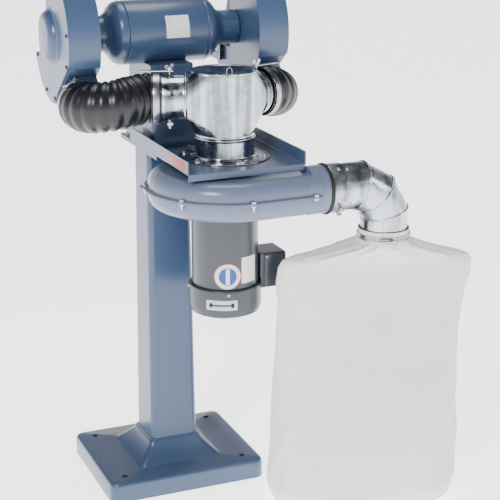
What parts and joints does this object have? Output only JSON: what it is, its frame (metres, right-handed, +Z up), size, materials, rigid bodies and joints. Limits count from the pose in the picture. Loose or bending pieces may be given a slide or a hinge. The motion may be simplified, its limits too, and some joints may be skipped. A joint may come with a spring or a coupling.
{
  "type": "pedestal bench grinder with dust collector",
  "caption": "Pedestal bench grinder whose wheel guards are ducted through hoses to a blower that fills a cloth dust bag.",
  "frame": {"origin": "on the floor, on the pedestal column's axis, under the base's middle boss", "axes": "+Z up; +X to the right as seen from the dust collector, along the grinder's spindle; -Y towards the dust collector, +Y towards the operator"},
  "size_m": [0.8117, 0.6528, 1.1757],
  "materials": {
    "grinder_paint": "satin blue-grey enamel",
    "blower_paint": "satin light blue-grey enamel",
    "motor_paint": "satin grey enamel",
    "galvanised_sheet": "galvanised sheet, satin",
    "bright_steel": "machined",
    "copper_windings": "enamelled wire on laminations",
    "abrasive": "vitrified abrasive, coarse",
    "black_rubber": "satin",
    "clear_shield": "clear",
    "cloth": "woven, matte",
    "switch_plastic": "gloss"
  },
  "bodies": {
    "frame": {"pedestal_base": "grinder_paint", "pedestal_column": "grinder_paint", "pedestal_top_plate": "grinder_paint", "support_tray": "grinder_paint", "grinder_foot": "grinder_paint", "motor_barrel": "grinder_paint", "switch_plate": "bright_steel", "stator": "copper_windings", "left_end_bell": "grinder_paint", "left_wheel_guard": "grinder_paint", "left_guard_cover": "grinder_paint", "left_bearing": "bright_steel", "left_shield_bracket": "bright_steel", "left_hose": "black_rubber", "left_stub_clamp": "galvanised_sheet", "left_chute_clamp": "galvanised_sheet", "left_inlet_stub": "galvanised_sheet", "right_end_bell": "grinder_paint", "right_wheel_guard": "grinder_paint", "right_guard_cover": "grinder_paint", "right_bearing": "bright_steel", "right_shield_bracket": "bright_steel", "right_hose": "black_rubber", "right_stub_clamp": "galvanised_sheet", "right_chute_clamp": "galvanised_sheet", "right_inlet_stub": "galvanised_sheet", "manifold_body": "galvanised_sheet", "blower_housing_upper": "blower_paint", "blower_housing_lower": "blower_paint", "outlet_gasket": "black_rubber", "blower_motor_shell": "motor_paint", "fan_cover": "motor_paint", "conduit_box": "motor_paint", "outlet_elbow": "galvanised_sheet", "bag_clamp": "galvanised_sheet", "dust_bag": "cloth"},
    "arbor": {"arbor_shaft": "bright_steel", "rotor": "bright_steel", "left_inner_flange": "bright_steel", "left_grinding_wheel": "abrasive", "left_outer_flange": "bright_steel", "left_arbor_nut": "bright_steel", "right_inner_flange": "bright_steel", "right_grinding_wheel": "abrasive", "right_outer_flange": "bright_steel", "right_arbor_nut": "bright_steel"},
    "fan": {"blower_motor_rotor": "bright_steel", "impeller": "bright_steel"},
    "left_damper": {"left_damper_blade": "galvanised_sheet", "left_damper_handle": "galvanised_sheet"},
    "left_rest_arm": {"left_rest_arm": "grinder_paint"},
    "left_rest_table": {"left_rest_table": "grinder_paint"},
    "left_eye_shield": {"left_eye_shield": "clear_shield"},
    "right_damper": {"right_damper_blade": "galvanised_sheet", "right_damper_handle": "galvanised_sheet"},
    "right_rest_arm": {"right_rest_arm": "grinder_paint"},
    "right_rest_table": {"right_rest_table": "grinder_paint"},
    "right_eye_shield": {"right_eye_shield": "clear_shield"},
    "switch": {"switch_toggle": "switch_plastic"}
  },
  "joints": [
    {"name": "arbor_spin", "type": "hinge", "parent": "frame", "child": "arbor", "pos_m": [0.008, 0.02, 1.018], "axis": [1, 0, 0], "continuous": true},
    {"name": "fan_spin", "type": "hinge", "parent": "frame", "child": "fan", "pos_m": [0.07086, -0.19685, 0.7234], "axis": [0, 0, 1], "continuous": true},
    {"name": "left_damper_turn", "type": "hinge", "parent": "frame", "child": "left_damper", "pos_m": [-0.03438, -0.15854, 0.905], "axis": [0, 0, 1], "range_deg": [0, 90]},
    {"name": "left_rest_slide", "type": "slide", "parent": "frame", "child": "left_rest_arm", "axis": [0, 1, 0], "range_m": [0, 0.02]},
    {"name": "left_rest_tilt", "type": "hinge", "parent": "left_rest_arm", "child": "left_rest_table", "pos_m": [-0.188, 0.1755, 0.988], "axis": [1, 0, 0], "range_deg": [-30, 0]},
    {"name": "left_shield_tilt", "type": "hinge", "parent": "frame", "child": "left_eye_shield", "pos_m": [-0.1985, 0.11, 1.168], "axis": [1, 0, 0], "range_deg": [-20, 60]},
    {"name": "right_damper_turn", "type": "hinge", "parent": "frame", "child": "right_damper", "pos_m": [0.15591, -0.16589, 0.905], "axis": [0, 0, 1], "range_deg": [0, 90]},
    {"name": "right_rest_slide", "type": "slide", "parent": "frame", "child": "right_rest_arm", "axis": [0, 1, 0], "range_m": [0, 0.02]},
    {"name": "right_rest_tilt", "type": "hinge", "parent": "right_rest_arm", "child": "right_rest_table", "pos_m": [0.204, 0.1755, 0.988], "axis": [1, 0, 0], "range_deg": [-30, 0]},
    {"name": "right_shield_tilt", "type": "hinge", "parent": "frame", "child": "right_eye_shield", "pos_m": [0.2145, 0.11, 1.168], "axis": [1, 0, 0], "range_deg": [-20, 60]},
    {"name": "switch_rock", "type": "hinge", "parent": "frame", "child": "switch", "pos_m": [0.008, 0.1095, 0.8659], "axis": [1, 0, 0], "range_deg": [0, 11]}
  ]
}
